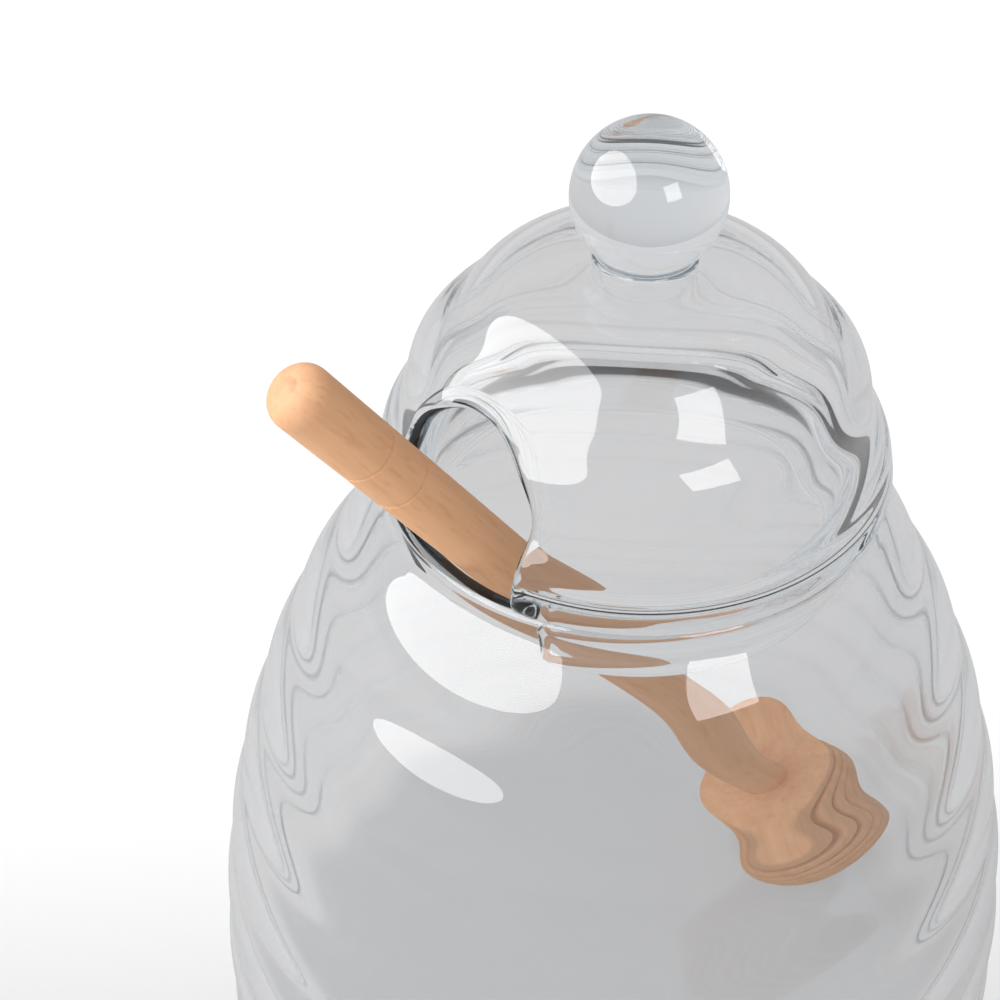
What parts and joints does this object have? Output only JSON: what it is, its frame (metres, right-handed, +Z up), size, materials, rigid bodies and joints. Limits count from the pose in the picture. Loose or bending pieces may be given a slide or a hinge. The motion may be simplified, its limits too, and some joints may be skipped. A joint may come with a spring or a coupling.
{
  "type": "honey pot",
  "caption": "Ribbed glass honey pot shaped like a skep, with a notched glass lid, a ball knob and a turned wooden dipper.",
  "frame": {"origin": "middle of the jar's flat foot, on the surface that it stands on", "axes": "+Z up along the jar's axis; the lid's notch and the dipper's handle face -X"},
  "size_m": [0.1154, 0.1154, 0.1531],
  "materials": {
    "jar_glass": "clear gloss",
    "lid_glass": "clear gloss",
    "dipper_wood": "sanded, unvarnished"
  },
  "bodies": {
    "root": {"jar": "jar_glass", "lid": "lid_glass", "dipper": "dipper_wood"}
  },
  "joints": []
}
